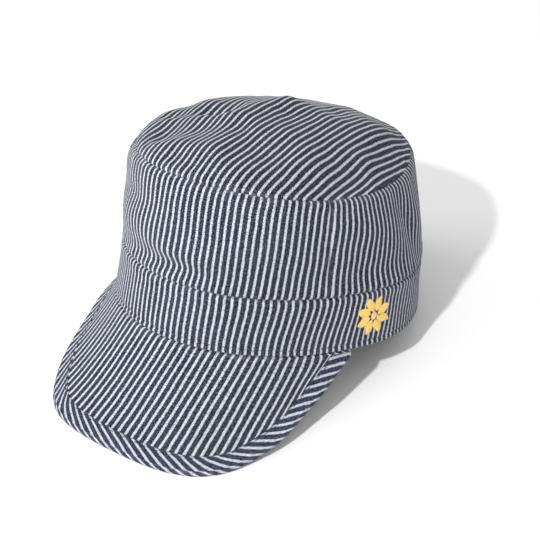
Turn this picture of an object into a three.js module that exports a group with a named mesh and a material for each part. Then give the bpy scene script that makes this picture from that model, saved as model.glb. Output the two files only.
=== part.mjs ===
// A striped work cap: a soft flat-topped crown, a band round the head and a stiff curved peak.
// Millimetres, +Z up, the peak toward -Y and the wearer's left toward +X.
// The cap lies as it rests by itself, on the back of its rim and on the edge of its peak.

import * as THREE from 'three';

// Rim and band, measured on the outside
const rimHalfLength = 102.6;
const rimHalfWidth = 84.8;
const bandHeight = 31.5;
const bandWall = 2.8;
const bandTopTaper = 2.0;

// Crown, with heights above the rim's plane
const crownWall = 1.8;
const crownHeightFront = 87.5;
const crownHeightSide = 87.5;
const crownHeightBack = 95.5;
const wallBulge = 2.4;
const sideSeamAngle = 56;

// Oval top of the crown
const topHalfLength = 78.9;
const topHalfWidth = 75.2;
const topForward = 16.3;
const topSquareness = 2.2;
const topRise = 16.5;
const topFlatness = 4;

// Height that a full fold stands out or sinks in
const foldHeight = 4.5;

// Peak, with its angle round the rim in degrees each side of the centre
const peakReach = 65.6;
const peakHalfAngle = 66;
const peakThickness = 3.3;
const peakSag = 7.2;
const rootBlend = 16;

// Bias strip folded round the peak's edge, which leaves at least endFace of the peak bare
const bindingWidth = 13;
const bindingCloth = 0.9;
const bindingGap = 0.4;
const endFace = 0.8;

// Clearance between sewn pieces, and how far the soft rim is pressed flat by its own weight
const seamGap = 0.3;
const rimPress = 1.2;
const pressFade = 12;

// Steps in the meshes
const frontSteps = 26;
const backSteps = 54;
const topRings = 11;
const peakSteps = 40;
const noseSteps = 4;

// Sections of the band from the rim up: share of the band's height and of its taper
const bandSections = [
  { up: 0.0, taper: 0.0 },
  { up: 0.12, taper: 0.02 },
  { up: 0.45, taper: 0.35 },
  { up: 0.8, taper: 0.8 },
  { up: 1.0, taper: 1.0 },
];

// Sections of the crown's wall from the band up: share of the wall's height,
// share of the way in to the top's outline, and share of the wall's bulge
const wallSections = [
  { up: 0.0, inward: 0.0, bulge: 0.0 },
  { up: 0.08, inward: 0.07, bulge: 0.1 },
  { up: 0.17, inward: 0.15, bulge: 0.25 },
  { up: 0.27, inward: 0.25, bulge: 0.4 },
  { up: 0.38, inward: 0.37, bulge: 0.55 },
  { up: 0.5, inward: 0.49, bulge: 0.7 },
  { up: 0.62, inward: 0.61, bulge: 0.9 },
  { up: 0.74, inward: 0.74, bulge: 1.0 },
  { up: 0.85, inward: 0.85, bulge: 0.95 },
  { up: 0.93, inward: 0.93, bulge: 0.6 },
  { up: 1.0, inward: 1.0, bulge: 0.0 },
];

// Folds of the wall: place as an angle from the front and a share of the wall's height,
// spread in degrees and as a share of that height, lean in degrees over the whole height,
// and height as a share of foldHeight, negative where the cloth sinks in
const wallFolds = [
  { angle: -10, up: 0.13, spread: 26, tall: 0.13, lean: 0, height: -0.85 },
  { angle: -18, up: 0.42, spread: 24, tall: 0.16, lean: 0, height: 0.35 },
  { angle: -34, up: 0.66, spread: 14, tall: 0.12, lean: 20, height: -0.4 },
  { angle: -38, up: 0.25, spread: 9, tall: 0.2, lean: 30, height: 0.3 },
  { angle: 40, up: 0.62, spread: 9, tall: 0.25, lean: -18, height: 0.3 },
  { angle: 56, up: 0.45, spread: 4, tall: 0.5, lean: 0, height: -0.25 },
  { angle: 74, up: 0.68, spread: 12, tall: 0.2, lean: 0, height: 0.45 },
  { angle: 76, up: 0.2, spread: 16, tall: 0.14, lean: 0, height: -0.55 },
  { angle: 97, up: 0.5, spread: 5, tall: 0.42, lean: -14, height: -0.6 },
  { angle: 110, up: 0.42, spread: 10, tall: 0.3, lean: -20, height: 0.7 },
  { angle: 150, up: 0.3, spread: 22, tall: 0.16, lean: 0, height: -0.4 },
  { angle: -120, up: 0.35, spread: 24, tall: 0.18, lean: 0, height: -0.4 },
  { angle: -76, up: 0.45, spread: 12, tall: 0.3, lean: 16, height: 0.35 },
];

// Folds of the top: the line of each fold in shares of the top's half width and half length
// from its centre, breadth as a share of the half width and height as a share of foldHeight
const topFolds = [
  { fromX: -0.62, fromY: -0.78, toX: -0.12, toY: -0.38, breadth: 0.1, height: -1.0 },
  { fromX: -0.12, fromY: -0.38, toX: 0.1, toY: 0.1, breadth: 0.1, height: -0.5 },
  { fromX: -0.38, fromY: -0.86, toX: 0.04, toY: -0.5, breadth: 0.12, height: 0.6 },
  { fromX: -0.86, fromY: -0.1, toX: -0.14, toY: 0.34, breadth: 0.11, height: -0.75 },
  { fromX: -0.6, fromY: -0.42, toX: -0.1, toY: 0.02, breadth: 0.16, height: 0.6 },
  { fromX: -0.68, fromY: -0.36, toX: -0.6, toY: 0.16, breadth: 0.3, height: 0.7 },
  { fromX: 0.02, fromY: 0.86, toX: 0.34, toY: 0.46, breadth: 0.1, height: -0.7 },
  { fromX: 0.34, fromY: 0.46, toX: 0.8, toY: 0.4, breadth: 0.1, height: -0.6 },
  { fromX: 0.3, fromY: 0.24, toX: 0.86, toY: 0.06, breadth: 0.12, height: 0.45 },
  { fromX: 0.5, fromY: -0.1, toX: 0.92, toY: -0.3, breadth: 0.09, height: -0.3 },
];

// Stations of the peak from its centre to each end: share of the half angle, share of the reach,
// and the angles by which the cloth fans sideways and droops below the rim's plane
const peakStations = [
  { across: 0.0, reach: 1.0, fan: 0, droop: 51.5 },
  { across: 0.3, reach: 1.01, fan: 20.4, droop: 49.7 },
  { across: 0.55, reach: 0.76, fan: 41.9, droop: 51.7 },
  { across: 0.75, reach: 0.41, fan: 46.9, droop: 52.4 },
  { across: 0.9, reach: 0.19, fan: 40, droop: 48.4 },
  { across: 1.0, reach: 0.06, fan: 38, droop: 48.4 },
];

// Shares of the way from the peak's root to its binding where the mesh has a row
const peakRows = [0, 0.1, 0.25, 0.42, 0.6, 0.8, 1];

const clothDark = new THREE.Color(0.045, 0.052, 0.075);
const clothBinding = new THREE.Color(0.055, 0.06, 0.09);
const clothRoughness = 0.9;

const radians = THREE.MathUtils.degToRad;
const lerp = THREE.MathUtils.lerp;
const smoothstep = THREE.MathUtils.smoothstep;

// Smooth curve through the column of a table whose rows rise in one key, with no overshoot
function readTable(rows, key, column, at) {
  const x = rows.map((row) => row[key]);
  const y = rows.map((row) => row[column]);
  const slopes = y.slice(1).map((value, i) => (value - y[i]) / (x[i + 1] - x[i]));
  const tangent = (i) => {
    const before = slopes[Math.max(i - 1, 0)];
    const after = slopes[Math.min(i, slopes.length - 1)];
    return before * after <= 0 ? 0 : (2 * before * after) / (before + after);
  };
  let i = 0;
  while (i < slopes.length - 1 && at > x[i + 1]) {
    i += 1;
  }
  const span = x[i + 1] - x[i];
  const u = THREE.MathUtils.clamp((at - x[i]) / span, 0, 1);
  const start = y[i] * (1 + 2 * u) * (1 - u) ** 2 + tangent(i) * span * u * (1 - u) ** 2;
  const end = y[i + 1] * (3 - 2 * u) * u ** 2 - tangent(i + 1) * span * (1 - u) * u ** 2;
  return start + end;
}

// Point of an oval, with its angle in degrees from the front toward the wearer's left
function ovalPoint(angle, halfLength, halfWidth, squareness) {
  const side = Math.sin(radians(angle));
  const back = -Math.cos(radians(angle));
  const reach = (Math.abs(side) ** squareness + Math.abs(back) ** squareness) ** (-1 / squareness);
  return new THREE.Vector3(halfWidth * side * reach, halfLength * back * reach, 0);
}

const rimPoint = (angle) => ovalPoint(angle, rimHalfLength, rimHalfWidth, 2);

// Level direction out of the cap at an angle round the rim
function outward(angle) {
  const out = new THREE.Vector3(Math.sin(radians(angle)) / rimHalfWidth, 0, 0);
  out.y = -Math.cos(radians(angle)) / rimHalfLength;
  return out.normalize();
}

function bandPoint(angle, section) {
  const point = rimPoint(angle);
  point.addScaledVector(outward(angle), -bandTopTaper * section.taper);
  point.z = bandHeight * section.up;
  return point;
}

// Seam between the wall and the top, highest at the back
function topSeamPoint(angle) {
  const point = ovalPoint(angle, topHalfLength, topHalfWidth, topSquareness);
  const front = Math.cos(radians(angle));
  const middle = (crownHeightFront + crownHeightBack) / 2 - crownHeightSide;
  point.y -= topForward;
  point.z = crownHeightSide + ((crownHeightFront - crownHeightBack) / 2) * front + middle * front ** 2;
  return point;
}

// Signed angle from one direction to another, in degrees between -180 and 180
const turn = (angle, from) => THREE.MathUtils.euclideanModulo(angle - from + 180, 360) - 180;

function wallFoldHeight(angle, up) {
  let height = 0;
  for (const fold of wallFolds) {
    const side = turn(angle, fold.angle + fold.lean * (up - fold.up)) / fold.spread;
    const rise = (up - fold.up) / fold.tall;
    height += foldHeight * fold.height * Math.exp(-(side ** 2) - rise ** 2);
  }
  return height * Math.sin(Math.PI * up) ** 0.4;
}

function wallPoint(angle, section) {
  const low = bandPoint(angle, bandSections[bandSections.length - 1]);
  low.z += seamGap;
  const high = topSeamPoint(angle);
  high.z -= seamGap;
  const point = low.clone().lerp(high, section.inward);
  point.z = lerp(low.z, high.z, section.up);
  const swell = wallBulge * section.bulge + wallFoldHeight(angle, section.up);
  return point.addScaledVector(outward(angle), swell);
}

// Distance of a point of the top from a fold's line
function distanceToLine(x, y, fold) {
  const start = new THREE.Vector3(fold.fromX * topHalfWidth, fold.fromY * topHalfLength, 0);
  const end = new THREE.Vector3(fold.toX * topHalfWidth, fold.toY * topHalfLength, 0);
  const point = new THREE.Vector3(x, y, 0);
  const nearest = new THREE.Line3(start, end).closestPointToPoint(point, true, new THREE.Vector3());
  return nearest.distanceTo(point);
}

function topFoldHeight(x, y) {
  let height = 0;
  for (const fold of topFolds) {
    const share = distanceToLine(x, y, fold) / (fold.breadth * topHalfWidth);
    height += foldHeight * fold.height * Math.exp(-(share ** 2));
  }
  return height;
}

// Point of the domed top, with share 0 at its centre and 1 at its seam
function topPoint(angle, share) {
  const seam = topSeamPoint(angle);
  const centre = new THREE.Vector3(0, -topForward, (crownHeightFront + crownHeightBack) / 2);
  const point = centre.clone().lerp(seam, share);
  const fold = topFoldHeight(point.x, point.y + topForward);
  point.z += topRise * (1 - share ** topFlatness) + fold * (1 - share ** 6);
  return point;
}

// Upper skin of the peak: across from -1 to 1, and a share of the way from root to edge
function peakSkin(across, along) {
  const at = Math.abs(across);
  const side = Math.sign(across);
  const fan = radians(readTable(peakStations, 'across', 'fan', at)) * side;
  const droop = radians(readTable(peakStations, 'across', 'droop', at));
  const reach = peakReachAt(across);
  const forward = new THREE.Vector3(Math.sin(fan), -Math.cos(fan), 0).multiplyScalar(Math.cos(droop));
  forward.z = -Math.sin(droop);
  const point = rimPoint(across * peakHalfAngle).addScaledVector(forward, reach * along);
  point.z -= (4 * along * (1 - along) * peakSag * reach) / peakReach + seamGap;
  return point;
}

function peakReachAt(across) {
  return peakReach * readTable(peakStations, 'across', 'reach', Math.abs(across));
}

// Direction out of the peak's upper face, from small steps over the skin
function peakNormal(across, along) {
  const step = 0.01;
  const left = peakSkin(Math.min(across + step, 1), along);
  const right = peakSkin(Math.max(across - step, -1), along);
  const near = peakSkin(across, along - step);
  const far = peakSkin(across, along + step);
  return left.sub(right).cross(near.sub(far)).normalize();
}

// Point inside the peak at a depth from 0 on its upper face to 1 on its lower face.
// At the root the thickness lies level, under the band.
function peakDepthPoint(across, along, depth) {
  const skin = peakSkin(across, along);
  const inside = peakNormal(across, along).multiplyScalar(-peakThickness);
  const level = outward(across * peakHalfAngle).multiplyScalar(-bandWall);
  const free = smoothstep(along * peakReachAt(across), 0, rootBlend);
  return skin.addScaledVector(level.lerp(inside, free), depth);
}

// Depths through the peak's thickness where the binding's cloth and its clearance end
const clothDepth = bindingCloth / peakThickness;
const tongueDepth = (bindingCloth + bindingGap) / peakThickness;

// Shares of the reach where the peak's bare face ends, where the binding's arms start,
// where their middle row lies and where the binding's rounded nose starts
function bindingShares(across) {
  const reach = peakReachAt(across);
  const faceEnd = Math.max(reach - bindingWidth - bindingGap, endFace) / reach;
  const arm = faceEnd + bindingGap / reach;
  const noseStart = 1 - peakThickness / 2 / reach;
  return { faceEnd, arm, middle: (arm + noseStart) / 2, noseStart };
}

// Places round the half-round nose of the binding, from the upper to the lower face
function noseShares(across, inset) {
  const { noseStart } = bindingShares(across);
  const places = [];
  for (let i = 0; i <= noseSteps; i += 1) {
    const angle = (Math.PI * i) / noseSteps;
    const along = lerp(noseStart, 1, Math.sin(angle) * (1 - 2 * inset));
    places.push({ along, depth: 0.5 - Math.cos(angle) * (0.5 - inset) });
  }
  return places;
}

// The tilt that sets both the back of the rim and the lowest stretch of the peak's edge on the floor
const edgeStretch = [0, 0.1, 0.2, 0.3, 0.4, 0.5, 0.6];

const edgePoints = (across) =>
  noseShares(across, 0).map(({ along, depth }) => peakDepthPoint(across, along, depth));

const lowEdge = edgeStretch.flatMap(edgePoints);

function edgeDrop(tilt) {
  return Math.max(...lowEdge.map((point) => point.y * Math.sin(tilt) - point.z * Math.cos(tilt)));
}

function findRestTilt() {
  let low = 0;
  let high = Math.PI / 4;
  for (let i = 0; i < 40; i += 1) {
    const middle = (low + high) / 2;
    const peakIsLower = edgeDrop(middle) > rimHalfLength * Math.sin(middle);
    low = peakIsLower ? middle : low;
    high = peakIsLower ? high : middle;
  }
  return (low + high) / 2;
}

const restTilt = findRestTilt();
const restHeight = rimHalfLength * Math.sin(restTilt) - rimPress;
const floorHeight = (point) =>
  restHeight + point.z * Math.cos(restTilt) - point.y * Math.sin(restTilt);

// How far the floor lifts a point that would lie below it, along the cap's own Z
const floorLift = (point) => Math.max(0, -floorHeight(point)) / Math.cos(restTilt);

// Peak point with its edge lifted, over the whole reach, where the floor would cut it
function peakPoint(across, along, depth) {
  const point = peakDepthPoint(across, along, depth);
  const lift = Math.max(...edgePoints(across).map(floorLift));
  const { noseStart } = bindingShares(across);
  point.z += lift * smoothstep(along, 0, noseStart);
  return point;
}

// A mesh from triangles that index a list of points, turned so that its faces point out
function solidMesh(name, points, triangles, colour) {
  let volume = 0;
  for (const [a, b, c] of triangles) {
    volume += points[a].dot(points[b].clone().cross(points[c]));
  }
  const order = volume < 0 ? triangles.map(([a, b, c]) => [a, c, b]) : triangles;
  const geometry = new THREE.BufferGeometry();
  geometry.setFromPoints(points);
  geometry.setIndex(order.flat());
  geometry.computeVertexNormals();
  const material = new THREE.MeshStandardMaterial({
    color: colour,
    roughness: clothRoughness,
    metalness: 0,
  });
  const mesh = new THREE.Mesh(geometry, material);
  mesh.name = name;
  return mesh;
}

const quad = (a, b, c, d) => [
  [a, b, c],
  [a, c, d],
];

// Solid from closed loops of points set side by side. Each loop runs along one face of the cloth
// and back along the other, so that an open end is closed by strips between the two faces.
function loftLoops(name, loops, isRing, colour) {
  const size = loops[0].length;
  const spans = isRing ? loops.length : loops.length - 1;
  const at = (loop, i) => (loop % loops.length) * size + (i % size);
  const triangles = [];
  for (let loop = 0; loop < spans; loop += 1) {
    for (let i = 0; i < size; i += 1) {
      triangles.push(...quad(at(loop, i), at(loop, i + 1), at(loop + 1, i + 1), at(loop + 1, i)));
    }
  }
  if (!isRing) {
    const last = loops.length - 1;
    for (let i = 0; i < size / 2 - 1; i += 1) {
      triangles.push(...quad(at(0, i), at(0, size - 1 - i), at(0, size - 2 - i), at(0, i + 1)));
      triangles.push(...quad(at(last, i), at(last, i + 1), at(last, size - 2 - i), at(last, size - 1 - i)));
    }
  }
  return solidMesh(name, loops.flat(), triangles, colour);
}

const closeLoop = (outer, inner) => [...outer, ...inner.reverse()];

function buildBand() {
  const steps = frontSteps + backSteps;
  const loops = [];
  for (let i = 0; i < steps; i += 1) {
    const angle = (360 * i) / steps;
    const outer = bandSections.map((section) => bandPoint(angle, section));
    const inner = outer.map((point) => point.clone().addScaledVector(outward(angle), -bandWall));
    for (const column of [outer, inner]) {
      const lift = floorLift(column[0]);
      column.forEach((point) => {
        point.z += lift * (1 - smoothstep(point.z, 0, pressFade));
      });
    }
    loops.push(closeLoop(outer, inner));
  }
  return loftLoops('band', loops, true, clothDark);
}

// Drop of the inner corner of the wall's upper edge, on which the domed top lies
const rimCornerDrop = crownWall * Math.max(0, 1 - (topFlatness * topRise) / topHalfWidth);

// Wall panel between two angles, short of each by half the seam's gap
function buildWallPanel(name, fromAngle, toAngle, steps) {
  const trim = THREE.MathUtils.radToDeg(seamGap / 2 / topHalfWidth);
  const loops = [];
  for (let i = 0; i <= steps; i += 1) {
    const angle = lerp(fromAngle + trim, toAngle - trim, i / steps);
    const outer = wallSections.map((section) => wallPoint(angle, section));
    const inner = outer.map((point) => point.clone().addScaledVector(outward(angle), -crownWall));
    inner[inner.length - 1].z -= rimCornerDrop;
    loops.push(closeLoop(outer, inner));
  }
  return loftLoops(name, loops, false, clothDark);
}

function buildTop() {
  const steps = frontSteps + backSteps;
  const upper = [];
  const lower = [];
  for (let ring = 1; ring <= topRings; ring += 1) {
    for (let i = 0; i < steps; i += 1) {
      const angle = (360 * i) / steps;
      const point = topPoint(angle, ring / topRings);
      upper.push(point);
      const under = point.clone();
      if (ring < topRings) {
        under.z -= crownWall;
      } else {
        under.addScaledVector(outward(angle), -crownWall);
        under.z -= rimCornerDrop;
      }
      lower.push(under);
    }
  }
  const points = [...upper, ...lower, topPoint(0, 0), topPoint(0, 0)];
  const upperCentre = points.length - 2;
  const lowerCentre = points.length - 1;
  points[lowerCentre].z -= crownWall;
  const lowerStart = upper.length;
  const at = (ring, i) => ring * steps + (i % steps);
  const triangles = [];
  for (let i = 0; i < steps; i += 1) {
    triangles.push([upperCentre, at(0, i), at(0, i + 1)]);
    triangles.push([lowerCentre, lowerStart + at(0, i + 1), lowerStart + at(0, i)]);
    for (let ring = 0; ring < topRings - 1; ring += 1) {
      const corners = [at(ring, i), at(ring + 1, i), at(ring + 1, i + 1), at(ring, i + 1)];
      triangles.push(...quad(...corners));
      triangles.push(...quad(...corners.reverse().map((corner) => corner + lowerStart)));
    }
    const last = topRings - 1;
    const [left, right] = [at(last, i), at(last, i + 1)];
    triangles.push(...quad(left, left + lowerStart, right + lowerStart, right));
  }
  return solidMesh('crown_top', points, triangles, clothDark);
}

function peakLoop(across) {
  const { faceEnd, arm, middle, noseStart } = bindingShares(across);
  const face = (depth) => peakRows.map((row) => peakPoint(across, row * faceEnd, depth));
  const tongueRows = [faceEnd, arm, middle, noseStart];
  const tongue = (depth) => tongueRows.map((along) => peakPoint(across, along, depth));
  const upper = [...face(0), ...tongue(tongueDepth)];
  const lower = [...face(1), ...tongue(1 - tongueDepth)];
  return closeLoop(upper, lower);
}

function bindingLoop(across) {
  const { arm, middle } = bindingShares(across);
  const side = (depth) => [
    peakPoint(across, arm, depth),
    peakPoint(across, middle, depth),
    ...noseShares(across, depth).map((place) => peakPoint(across, place.along, place.depth)),
    peakPoint(across, middle, 1 - depth),
    peakPoint(across, arm, 1 - depth),
  ];
  return closeLoop(side(0), side(clothDepth));
}

function buildAcrossPeak(name, loopAt, colour) {
  const loops = [];
  for (let i = 0; i <= peakSteps; i += 1) {
    loops.push(loopAt((2 * i) / peakSteps - 1));
  }
  return loftLoops(name, loops, false, colour);
}

const cap = new THREE.Group();
cap.add(
  buildTop(),
  buildWallPanel('crown_front', -sideSeamAngle, sideSeamAngle, frontSteps),
  buildWallPanel('crown_back', sideSeamAngle, 360 - sideSeamAngle, backSteps),
  buildBand(),
  buildAcrossPeak('peak', peakLoop, clothDark),
  buildAcrossPeak('peak_binding', bindingLoop, clothBinding),
);
cap.rotation.x = -restTilt;

// The origin is the middle of the cap's own box, on the floor
const bounds = new THREE.Box3().setFromObject(cap, true);
const middle = bounds.getCenter(new THREE.Vector3());
cap.position.set(-middle.x, -middle.y, -bounds.min.z);

const workCap = new THREE.Group();
workCap.add(cap);

export default workCap;
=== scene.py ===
import math
from functools import partial

import bpy
import numpy as np
from mathutils import Matrix, Vector


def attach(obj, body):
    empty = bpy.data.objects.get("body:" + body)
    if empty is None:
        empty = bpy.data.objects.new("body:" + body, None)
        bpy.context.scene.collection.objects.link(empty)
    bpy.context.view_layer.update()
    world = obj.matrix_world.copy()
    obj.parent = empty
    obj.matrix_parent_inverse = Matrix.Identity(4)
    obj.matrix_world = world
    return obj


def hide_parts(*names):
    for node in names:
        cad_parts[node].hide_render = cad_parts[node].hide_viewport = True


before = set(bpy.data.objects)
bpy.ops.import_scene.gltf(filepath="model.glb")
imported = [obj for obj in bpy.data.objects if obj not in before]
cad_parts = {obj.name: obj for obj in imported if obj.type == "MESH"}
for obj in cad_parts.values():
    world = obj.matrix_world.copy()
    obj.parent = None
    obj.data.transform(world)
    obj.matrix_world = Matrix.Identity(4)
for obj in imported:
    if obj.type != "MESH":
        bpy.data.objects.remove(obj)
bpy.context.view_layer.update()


def table(columns, rows):
    """Rows of numbers with a name for each column."""
    return [dict(zip(columns.split(), row)) for row in rows]


# How the cap lies: its tilt in degrees and the shift of its frame in millimetres
REST_TILT = 12.656634763673084
REST_SHIFT = (0.0, 22.864553113305398, 21.28046293674859)

# Rim and band
RIM_HALF_LENGTH = 102.6
RIM_HALF_WIDTH = 84.8
BAND_HEIGHT = 31.5
BAND_WALL = 2.8
BAND_TOP_TAPER = 2.0
HEM_HEIGHT = 3.4
RIM_PRESS_FADE = 12

# Crown
CROWN_WALL = 1.8
CROWN_HEIGHT_FRONT = 87.5
CROWN_HEIGHT_SIDE = 87.5
CROWN_HEIGHT_BACK = 95.5
WALL_BULGE = 2.4
SIDE_SEAM_ANGLE = 56
TOP_HALF_LENGTH = 78.9
TOP_HALF_WIDTH = 75.2
TOP_FORWARD = 16.3
TOP_SQUARENESS = 2.2
TOP_RISE = 19.7
TOP_FLATNESS = 4.21
TOP_FLATNESS_FRONT = 1.28
TOP_FLATNESS_LEFT = -1.60
FOLD_HEIGHT = 4.5

# Peak and its bias strip
PEAK_REACH = 65.6
PEAK_HALF_ANGLE = 66
PEAK_THICKNESS = 3.3
PEAK_SAG = 7.2
ROOT_BLEND = 16
BINDING_WIDTH = 13
BINDING_CLOTH = 0.9
BARE_END = 0.8

# Degrees by which the peak's cloth is cut off its straight grain, at the root and at the edge, and
# how much wider its stripes are there than in the loose cloth
PEAK_SKEW_ROOT = 17
PEAK_SKEW_EDGE = 2
PEAK_SPREAD_ROOT = 1.03
PEAK_SPREAD_EDGE = 1.19

# How far the band's upper edge and the wall's lower edge are pulled back at the wearer's left, in
# millimetres
BAND_PULL = 5.0
WALL_PULL = 1.7

# How much of the peak's reach is trimmed off: share of the half angle, spread and millimetres
PEAK_TRIMS = table("across spread trim", [
    (-0.12, 0.26, 1.2),
    (0.52, 0.16, 2.0),
    (0.86, 0.14, -0.9),
])

# The bias strip is pulled as it is sewn: its stripes' slope to its length at the wearer's right and
# left, how far they close up, and their pitch and width in the strip's cloth
BIAS_SLOPE_RIGHT = 0.42
BIAS_SLOPE_LEFT = 0.62
BIAS_CLOSING = 0.66
BIAS_PITCH = 4.8
BIAS_WIDTH = 1.65

# Seams: the slit between two pieces, how deep and wide each edge rolls in, the ridge that the
# turned-in cloth makes beside it, and the size of the puckers along the stitching
SEAM_SLIT = 0.1
ROLL_DEPTH = 1.1
ROLL_WIDTH = 1.7
RIDGE_HEIGHT = 0.35
RIDGE_PLACE = 3.2
PUCKER_HEIGHT = 0.22
PUCKER_REACH = 7

# How far the cloth's soft unevenness stands out or sinks in
WALL_SLACK = 0.4
TOP_SLACK = 0.45
BAND_SLACK = 0.45
PEAK_SLACK = 0.22

# Stripes of the cloth
STRIPE_PITCH = 3.84
STRIPE_WIDTH = 1.28

# Stitches of the hem and of the bias strip: from one to the next, length, radius of the thread, how
# far they sink in, the two seams' lengths, and distance from the strip's inner edge; and how far the
# strip stands proud, as a share of the peak
STITCH_PITCH = 2.9
STITCH_LENGTH = 2.1
STITCH_RADIUS = 0.2
STITCH_SUNK = 0.3
HEM_RUN = 590
STRIP_RUN = 300
STRIP_STITCH_INSET = 1.8
STRIP_PROUD = 0.08

# Rosette stitched on the band at the wearer's left: its place, its petals and its threads
ROSETTE_ANGLE = 74
ROSETTE_HEIGHT = 17.6
PETALS = 8
PETAL_START = 3.0
PETAL_END = 11.4
PETAL_HALF_WIDTH = 2.35
EYE_RADIUS = 2.1
THREAD_PITCH = 0.4
THREAD_RADIUS = 0.25

# Rough millimetres for each degree round the wall's side and round the band under the rosette, and
# from the middle of the top to its seam
WALL_RUN = 1.45
BAND_RUN = 1.62
TOP_RUN = 90

# How far from its edge the cloth is rubbed, and the angle in degrees under which faces shade smoothly
WEAR_REACH = 2.4
SMOOTH_ANGLE = 60

# A dent in the band: angle and spread in degrees, and depth
DENT_ANGLE = 122
DENT_SPREAD = 14
DENT_DEPTH = 1.6

# Sections of the band: share of its height and of its taper
BAND_SECTIONS = table("up taper", [
    (0.0, 0.0),
    (0.12, 0.02),
    (0.45, 0.35),
    (0.8, 0.8),
    (1.0, 1.0),
])

# Sections of the crown's wall: share of its height, share of the way in, and share of the bulge
WALL_SECTIONS = table("up inward bulge", [
    (0.0, 0.0, 0.0),
    (0.08, 0.07, 0.1),
    (0.17, 0.15, 0.25),
    (0.27, 0.25, 0.4),
    (0.38, 0.37, 0.55),
    (0.5, 0.49, 0.7),
    (0.62, 0.61, 0.9),
    (0.74, 0.74, 1.0),
    (0.85, 0.85, 0.95),
    (0.93, 0.93, 0.6),
    (1.0, 1.0, 0.0),
])

# Where the top's seam has slipped from its oval: angle and spread in degrees, millimetres out and up
SEAM_SLIPS = table("angle spread out up", [
    (-58, 24, -2.1, 1.1),
    (138, 30, -0.6, 4.5),
])

# Where the rim is pressed out of its oval: angle and spread in degrees, and millimetres
RIM_SLIPS = table("angle spread out", [
    (86, 17, 3.0),
    (128, 16, -1.6),
])

# Folds of the wall: angle and share of the height, spread in degrees and as a share of the height,
# lean in degrees over the whole height, and height as a share of the full fold
WALL_FOLDS = table("angle up spread tall lean height", [
    (-10, 0.13, 26, 0.13, 0, -0.68),
    (-18, 0.42, 24, 0.16, 0, 0.35),
    (-3, 0.29, 13, 0.09, 0, 0.4),
    (1, 0.14, 12, 0.07, 0, -0.4),
    (-34, 0.66, 14, 0.12, 20, -0.4),
    (-38, 0.25, 9, 0.2, 30, 0.3),
    (40, 0.62, 9, 0.25, -18, 0.3),
    (56, 0.45, 4, 0.5, 0, -0.25),
    (74, 0.68, 12, 0.2, 0, 0.45),
    (76, 0.2, 16, 0.14, 0, -0.55),
    (97, 0.5, 5, 0.42, -14, -0.6),
    (110, 0.42, 10, 0.3, -20, 0.45),
    (126, 0.5, 14, 0.45, 0, -0.65),
    (-60, 0.6, 16, 0.16, 0, 0.25),
    (150, 0.3, 22, 0.16, 0, -0.4),
    (-120, 0.35, 24, 0.18, 0, -0.4),
    (-76, 0.45, 12, 0.3, 16, 0.35),
    (-68, 0.84, 20, 0.13, 0, 0.25),
])

# Folds of the top: the line of each in shares of the top's half width and half length, breadth as
# a share of the half width, and height as a share of the full fold
TOP_FOLDS = table("from to breadth height", [
    ((-0.76, -0.30), (-0.33, -0.21), 0.09, -0.85),
    ((-0.19, -0.15), (-0.76, 0.17), 0.15, -0.20),
    ((-0.61, 0.46), (-0.29, 0.56), 0.32, -1.07),
    ((0.42, 0.29), (0.60, 0.31), 0.19, 0.79),
    ((0.63, 0.49), (0.59, -0.24), 0.15, 0.47),
    ((-0.52, -0.63), (0.86, -0.64), 0.28, -1.37),
    ((0.67, -0.28), (0.95, -0.31), 0.20, -1.04),
    ((-0.90, 0.21), (-0.55, -0.64), 0.13, -1.03),
    ((-0.07, 0.21), (-0.19, -0.20), 0.14, 0.86),
    ((0.55, -0.61), (0.85, -0.03), 0.15, 0.54),
    ((-0.73, -0.67), (-0.53, -0.57), 0.12, 0.10),
    ((-0.55, -0.51), (-0.29, -0.53), 0.20, -0.68),
    ((-0.30, -0.44), (-0.06, -0.41), 0.12, -0.51),
    ((-0.42, -0.91), (-0.16, -0.66), 0.09, -0.20),
    ((-0.12, -0.62), (-0.14, -0.48), 0.21, 0.80),
    ((-0.67, -0.35), (-0.57, -0.23), 0.08, 0.45),
    ((-0.55, -0.19), (-0.30, -0.10), 0.11, -0.48),
    ((-0.45, -0.16), (-0.16, -0.21), 0.08, -0.32),
    ((0.35, 0.32), (0.57, 0.31), 0.13, -0.55),
    ((-0.25, -0.88), (-0.09, -0.92), 0.09, -1.30),
])

# Stations of the peak from its centre to each end: share of the half angle, share of the reach,
# and the angles by which the cloth fans sideways and droops
PEAK_STATIONS = table("across reach fan droop", [
    (0.0, 1.0, 0, 51.5),
    (0.3, 1.01, 20.4, 49.7),
    (0.55, 0.76, 41.9, 51.7),
    (0.75, 0.41, 46.9, 52.4),
    (0.9, 0.19, 40, 48.4),
    (1.0, 0.06, 38, 48.4),
])

CAP_TO_WORLD = (
    Matrix.Translation(Vector(REST_SHIFT) * 0.001)
    @ Matrix.Rotation(math.radians(-REST_TILT), 4, "X")
    @ Matrix.Scale(0.001, 4)
)


# Curves, tables and waves


def read_table(rows, key, column, at):
    """Smooth curve through the column of a table whose rows rise in one key, with no overshoot."""
    x = np.array([row[key] for row in rows], float)
    y = np.array([row[column] for row in rows], float)
    slopes = np.diff(y) / np.diff(x)
    before = np.concatenate([slopes[:1], slopes])
    after = np.concatenate([slopes, slopes[-1:]])
    rising = before * after > 0
    total = np.where(rising, before + after, 1)
    tangent = np.where(rising, 2 * before * after / total, 0)
    i = np.clip(np.searchsorted(x, at) - 1, 0, len(slopes) - 1)
    span = x[i + 1] - x[i]
    u = np.clip((at - x[i]) / span, 0, 1)
    start = y[i] * (1 + 2 * u) * (1 - u) ** 2 + tangent[i] * span * u * (1 - u) ** 2
    end = y[i + 1] * (3 - 2 * u) * u**2 - tangent[i + 1] * span * (1 - u) * u**2
    return start + end


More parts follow.
